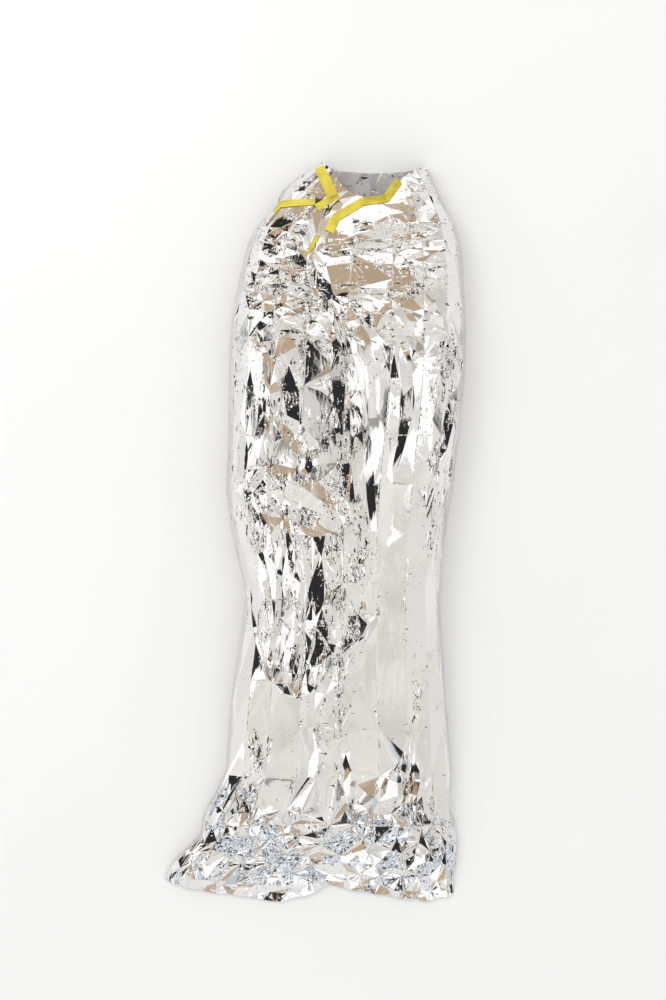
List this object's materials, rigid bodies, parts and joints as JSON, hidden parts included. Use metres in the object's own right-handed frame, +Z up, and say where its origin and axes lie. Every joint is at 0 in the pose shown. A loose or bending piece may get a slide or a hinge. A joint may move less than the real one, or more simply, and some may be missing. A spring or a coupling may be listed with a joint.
{
  "type": "emergency sleeping bag",
  "caption": "Hollow body-length bag of crinkled metallised film lying on its back, gathered at the foot and open at the neck, where a coloured tape runs round the mouth.",
  "frame": {"origin": "on the floor, under the middle of the bag's box", "axes": "+Y along the bag from the foot to the mouth, +Z up from the back that it lies on, +X to the right seen from above with the mouth at the top"},
  "size_m": [0.6595, 1.6075, 0.1459],
  "materials": {
    "film": "mirror-gloss metallised film, creased in a packing grid",
    "tape": "matte yellow tape"
  },
  "bodies": {
    "root": {"film_bag": "film", "mouth_tape_right": "tape", "mouth_tape_tuck": "tape", "mouth_tape_left": "tape"}
  },
  "joints": []
}
